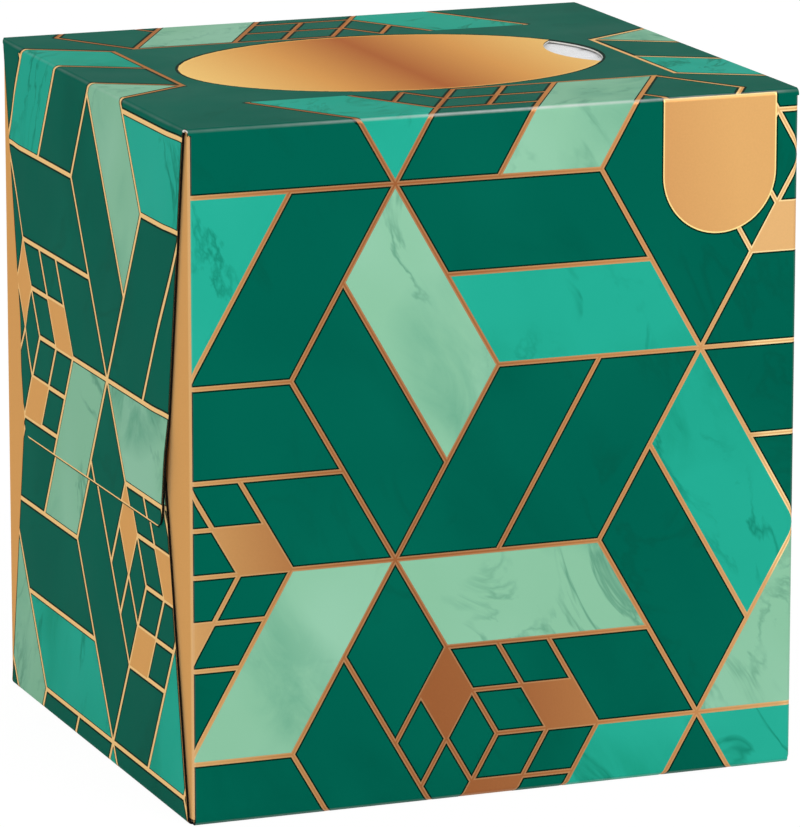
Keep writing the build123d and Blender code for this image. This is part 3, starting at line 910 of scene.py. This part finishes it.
# The cut edges outside the top are near black: painted shade in the gaps along them
shaded_cut_edge = board_material("shaded_cut_edge", srgb(22, 20, 18), srgb(10, 9, 8), 1500.0)

card_slots = {"copper": 0, "foil_rim": 1, "oval": 2, "oval_rim": 3, "tag": 4}
card = sheet_piece(
    "carton_card",
    sheet_here,
    0.0,
    BOARD,
    [copper, copper_rim, oval_copper, oval_rim_copper, tag_copper, raw_board, pale_edge, shaded_cut_edge],
    lambda chosen: np.array([card_slots.get(k, 0) for k in shown[chosen]]),
)
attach(card, "root")
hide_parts("carton")

# Fillers between the inner flaps and the tube's folds
FILLER_BACK, FILLER_DROP, FILLER_LENGTH = 0.75, 0.22, 1.2


def corner_prism(side, front, up):
    """the top or foot of an inner flap inside the rounded fold next to it: a quarter disc and a
    square beside it, carried along the width"""
    radius = PANEL_FOLD - BOARD + 0.02
    end = (HALF_WIDTH if up > 0 else END_MIDDLE) - FLAP_FOLD - 0.07
    quarter = radius * np.exp(1j * np.linspace(0, math.pi / 2, 7))
    low_corners = [complex(-FILLER_BACK, -FILLER_DROP), complex(radius, -FILLER_DROP)]
    profile = np.concatenate([low_corners, quarter, [complex(-FILLER_BACK, radius)]])
    x = side * np.repeat([end - FILLER_LENGTH, end], len(profile))
    y = front * (HALF_DEPTH - PANEL_FOLD + np.tile(profile.real, 2))
    z = (HEIGHT if up > 0 else 0) + up * (np.tile(profile.imag, 2) - PANEL_FOLD)
    count = len(profile)
    ring = np.arange(count)
    onwards = np.roll(ring, -1)
    faces = np.stack([ring, onwards, onwards + count, ring + count], axis=1).tolist()
    faces += [ring[::-1].tolist(), (ring + count).tolist()]
    if side * front * up < 0:
        faces = [face[::-1] for face in faces]
    return np.stack([x, y, z], axis=1), faces


prism_points, prism_faces = [], []
for side in (-1, 1):
    for front, up in ((-1, 1), (1, 1), (-1, -1)):
        points, faces = corner_prism(side, front, up)
        start = sum(len(p) for p in prism_points)
        prism_points.append(points)
        prism_faces += [[start + i for i in face] for face in faces]
points = np.concatenate(prism_points) * MM
inner_flap_tops = mesh_object("inner_flap_tops", points, prism_faces, copper)
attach(inner_flap_tops, "root")

for name, kind, material, node, slot in (
    ("dark_green_print", "green", dark_green, "print_dark_green", "dark_green_ink"),
    ("teal_print", "teal", teal, "print_teal", "teal_ink"),
    ("mint_print", "mint", mint, "print_mint", "mint_ink"),
    # the keyline piece also carries the painted shadow under the upper flaps' edges
    ("keyline_and_shadow_print", "keyline", keyline_ink, None, "dark_green_ink"),
):
    piece = sheet_piece(
        name, shown == kind, -INK, 0.0, [material], lambda chosen: np.zeros(chosen.sum(), int)
    )
    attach(piece, "root")
    if node:
        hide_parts(node)


# Tissues and film


def grid_piece(name, points, material):
    """closed surface from a grid of points whose columns go round it and whose first and last
    rows are closed by flat caps"""
    rows, columns = points.shape[:2]
    index = np.arange(rows * columns).reshape(rows, columns)
    onwards = np.roll(index, -1, axis=1)
    quads = np.stack([index[:-1], onwards[:-1], onwards[1:], index[1:]], axis=-1).reshape(-1, 4)
    caps = [index[0, ::-1].tolist(), index[-1].tolist()]
    return mesh_object(name, points.reshape(-1, 3) * MM, quads.tolist() + caps, material)


tissue_low, tissue_high = (np.array(c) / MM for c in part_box("tissue_clip"))
TISSUE_SHOULDER, TISSUE_EDGE, TISSUE_SLOT = 18.0, 2.0, 0.9
OUTLINE_POINTS, PILE_ROWS = 600, 141
FOLDED_DEPTH = 4.0  # the soft folds fade out this far below the pile's top
PILE_RISE, WAVE_DEPTH, CREASE_DEPTH = 0.295, 0.1, 0.4
HOLE_REACH = 14.0  # how far from the finger hole the folds there reach
PLY_DEPTH, PLY_SHARE = 1.5, 0.012  # the plies' uneven ends


def clip_outline(count):
    """outline of the folded pile across the box: an upside-down U with round shoulders, its two
    legs' ends rounded, and a narrow slot between the legs, evenly spaced along its length"""
    half, low, high = tissue_high[0], tissue_low[2], tissue_high[2]
    quarter = np.linspace(0, math.pi / 2, 13)[1:-1]
    slot_top = high - (half - TISSUE_SLOT / 2)
    foot = TISSUE_SLOT / 2 + TISSUE_EDGE

    def arc(x, z, radius, start):
        return x + radius * np.cos(start + quarter) + 1j * (z + radius * np.sin(start + quarter))

    right = np.concatenate(
        [
            [complex(TISSUE_SLOT / 2, slot_top)],
            [complex(TISSUE_SLOT / 2, low + TISSUE_EDGE)],
            np.conj(arc(foot, -(low + TISSUE_EDGE), TISSUE_EDGE, math.pi / 2))[::-1],
            [complex(half - TISSUE_EDGE, low)],
            arc(half - TISSUE_EDGE, low + TISSUE_EDGE, TISSUE_EDGE, -math.pi / 2),
            [complex(half, high - TISSUE_SHOULDER)],
            arc(half - TISSUE_SHOULDER, high - TISSUE_SHOULDER, TISSUE_SHOULDER, 0.0),
            [complex(0, high)],
        ]
    )
    outline = np.concatenate([right, -np.conj(right[::-1])[1:]])
    closed = np.append(outline, outline[0])
    lengths = np.concatenate([[0], np.cumsum(np.abs(np.diff(closed)))])
    even = np.linspace(0, lengths[-1], count, endpoint=False)
    return np.interp(even, lengths, closed.real) + 1j * np.interp(even, lengths, closed.imag)


outline = clip_outline(OUTLINE_POINTS)
# Rows lie closer in the middle, under the finger hole
row_places = [tissue_low[1], -12, 12, tissue_high[1]]
rows = np.interp(np.linspace(0, 1, PILE_ROWS), [0, 0.25, 0.75, 1], row_places)
pile = np.empty((len(rows), len(outline), 3))
pile[..., 0] = outline.real[None, :]
pile[..., 1] = rows[:, None]
pile[..., 2] = outline.imag[None, :]
# The top sheet lies in soft folds: waves that run across the box, flat near
# the finger hole, and there two creases that part from each other
x, y, z = pile[..., 0], pile[..., 1], pile[..., 2]
upper = np.clip((z - (tissue_high[2] - FOLDED_DEPTH)) / FOLDED_DEPTH, 0, 1)
wave = np.sin(0.55 * y + 0.9 * np.sin(0.12 * x + 1.0) + 0.05 * x) * 0.5 + 0.5
crease = bell(y + 3.0 + 0.45 * (x - 37), 0.7) + 0.8 * bell(y - 3.5 - 0.5 * (x - 38), 0.6)
waves = WAVE_DEPTH * wave**2 * (1 - bell(x - 40, HOLE_REACH))
creases = CREASE_DEPTH * crease * bell(x - 35, HOLE_REACH)
pile[..., 2] = z + upper * (PILE_RISE - waves - creases)
# Its two ends are a little uneven, ply by ply
near_ends = np.clip((np.abs(y) - (tissue_high[1] - PLY_DEPTH)) / PLY_DEPTH, 0, 1)
plies = 0.5 + 0.5 * np.sin(1.9 * np.arange(len(outline)))
pile[..., 1] = y * (1 - PLY_SHARE * near_ends * plies[None, :])

tissue_paper, tree, shader = new_material("tissue_paper", 0.95, 0.05)
fluff = noise(tree, placed(tree), 900.0, 6.0, 0.7)
tone = ramp(tree, fluff, [(0.3, srgb(244, 245, 246)), (0.7, srgb(253, 253, 254))])
fill(tree, shader, {"Base Color": tone, "Normal": bumped(tree, fluff, 0.35)})
fill(tree, shader, {"Sheen Weight": 0.5, "Sheen Roughness": 0.6})
tissues = grid_piece("tissue_pile", pile, tissue_paper)
tissues.data.polygons.foreach_set("use_smooth", np.ones(len(tissues.data.polygons), bool))
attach(tissues, "root")
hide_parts("tissue_clip")

# Film: a thin sheet with a slit along its middle, lightly wrinkled
half_w, half_d, half_slit = FILM_WIDTH / 2, FILM_DEPTH / 2, SLIT_LENGTH / 2
across = np.concatenate(
    [
        np.linspace(-half_w, -half_slit, 10)[:-1],
        np.linspace(-half_slit, half_slit, 63),
        np.linspace(half_slit, half_w, 10)[1:],
    ]
)
along = np.concatenate(
    [np.linspace(-half_d, -SLIT_WIDTH / 2, 39), np.linspace(SLIT_WIDTH / 2, half_d, 39)]
)
gx, gy = np.meshgrid(across, along)
in_oval = np.clip(1 - (gx / OVAL_HALF_WIDTH) ** 2 - (gy / OVAL_HALF_DEPTH) ** 2, 0, 1)
wrinkle = 0.06 * (0.5 + 0.5 * np.sin(0.9 * gx + 1.4 * np.sin(0.35 * gy))) * in_oval
upper_side = np.stack([gx, gy, TOP_INSIDE - wrinkle], axis=-1).reshape(-1, 3)
lower_side = upper_side - [0, 0, FILM]
index = np.arange(gx.size).reshape(gx.shape)
quads = np.stack([index[:-1, :-1], index[:-1, 1:], index[1:, 1:], index[1:, :-1]], axis=-1)
in_slit = (gy[:-1, :-1] < 0) & (gy[1:, :-1] > 0)
in_slit &= (gx[:-1, :-1] > -half_slit - 0.01) & (gx[:-1, 1:] < half_slit + 0.01)
quads = quads[~in_slit]
sides = np.concatenate([quads[:, [0, 1]], quads[:, [1, 2]], quads[:, [2, 3]], quads[:, [3, 0]]])
count = len(upper_side)
_, walls = walls_round(sides, count)
faces = quads.tolist() + (quads[:, ::-1] + count).tolist() + walls.tolist()
clear_film, tree, shader = new_material("clear_film", 0.12, 0.5)
streaks = noise(tree, placed(tree, stretch=(0.3, 1.0, 1.0)), 160.0, 3.0)
tone = ramp(tree, streaks, [(0.3, (0.8, 0.84, 0.86, 1)), (0.7, (0.93, 0.95, 0.96, 1))])
fill(tree, shader, {"Base Color": tone, "Alpha": 0.05})
points = np.concatenate([upper_side, lower_side]) * MM
film_sheet = mesh_object("clear_film_sheet", points, faces, clear_film)
film_sheet.data.polygons.foreach_set("use_smooth", np.arange(len(faces)) < 2 * len(quads))
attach(film_sheet, "root")
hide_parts("dispensing_film")

# Camera, solved on the box's visible corners in the photograph
CAMERA_PLACE = (-412.821, -1069.897, 320.953)  # millimetres
AZIMUTH, ELEVATION, ROLL = -21.1775, 12.8561, 0.0027  # degrees
FOCAL_PIXELS, LONG_SIDE_PIXELS = 6316.68, 827
SENSOR = 36.0
camera = add_object("camera", bpy.data.cameras.new("camera"))
scene = bpy.context.scene
scene.camera = camera
turn, rise, roll = (math.radians(a) for a in (AZIMUTH, ELEVATION, ROLL))
level_share = math.cos(rise)
forward = Vector(
    (-math.sin(turn) * level_share, math.cos(turn) * level_share, -math.sin(rise))
)
level = forward.cross(Vector((0, 0, 1))).normalized()
upward = level.cross(forward)
right = level * math.cos(roll) + upward * math.sin(roll)
up = upward * math.cos(roll) - level * math.sin(roll)
camera.matrix_world = Matrix(
    [[right[i], up[i], -forward[i], CAMERA_PLACE[i] * MM] for i in range(3)] + [[0, 0, 0, 1]]
)
camera.data.sensor_width = SENSOR
camera.data.lens = FOCAL_PIXELS * SENSOR / LONG_SIDE_PIXELS
camera.data.clip_start, camera.data.clip_end = 0.05, 50.0

# Floor, world and lamps
WHITE = (1, 1, 1, 1)
FLOOR_HALF, FLOOR_LEVEL = 4.0, -0.0001  # metres
FLOOR_WHITE, FLOOR_WHITE_SHARE = 1.04, 0.92  # its own light where it has to be seen white
SURROUND = 0.55  # strength of the world's light on the box


def seen_white(tree):
    """1 for the rays that should find a white background: from the camera, in gloss and
    through the film"""
    rays = tree.nodes.new("ShaderNodeLightPath").outputs
    kinds = ("Is Camera Ray", "Is Glossy Ray", "Is Transmission Ray")
    return joined(tree, "MAXIMUM", *(rays[kind] for kind in kinds))


def surface_of(tree, share, lit, white, output):
    """what is lit, with a share of plain white over it, as the surface of an output"""
    values = {0: share, 1: lit.outputs[0], 2: white.outputs[0]}
    blend = add_node(tree, "ShaderNodeMixShader", values)
    fill(tree, tree.nodes[output], {"Surface": blend.outputs[0]})


floor_corners = [
    (FLOOR_HALF * x, FLOOR_HALF * y, FLOOR_LEVEL) for x, y in ((-1, -1), (1, -1), (1, 1), (-1, 1))
]
floor_paint, tree, shader = new_material("floor_paint", 0.9, 0.0)
fill(tree, shader, {"Base Color": (0.9, 0.9, 0.9, 1)})
bright = add_node(tree, "ShaderNodeEmission", {"Color": WHITE, "Strength": FLOOR_WHITE})
share = joined(tree, "MULTIPLY", seen_white(tree), FLOOR_WHITE_SHARE)
surface_of(tree, share, shader, bright, "Material Output")
floor = mesh_object("floor", floor_corners, [(0, 1, 2, 3)], floor_paint)
floor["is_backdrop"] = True

world = bpy.data.worlds.new("studio")
scene.world = world
world.use_nodes = True
tree = world.node_tree
surround = tree.nodes["Background"]
fill(tree, surround, {"Color": WHITE, "Strength": SURROUND})
backdrop = add_node(tree, "ShaderNodeBackground", {"Color": WHITE, "Strength": 1.0})
surface_of(tree, seen_white(tree), surround, backdrop, "World Output")


def area_lamp(name, place, target, size, power):
    """a soft square lamp that faces a point, metres and watts"""
    data = bpy.data.lights.new(name, "AREA")
    data.shape, data.size, data.energy = "SQUARE", size, power
    lamp = add_object(name, data)
    lamp.location = place
    lamp.rotation_mode = "QUATERNION"
    lamp.rotation_quaternion = (Vector(target) - Vector(place)).to_track_quat("-Z", "Y")


area_lamp("front_lamp", (0.35, -1.5, 0.9), (0, 0, 0.06), 1.1, 11.0)
area_lamp("left_lamp", (-1.35, -0.75, 0.75), (0, 0, 0.06), 1.0, 6.0)

scene.view_settings.view_transform = "Standard"

low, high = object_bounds()
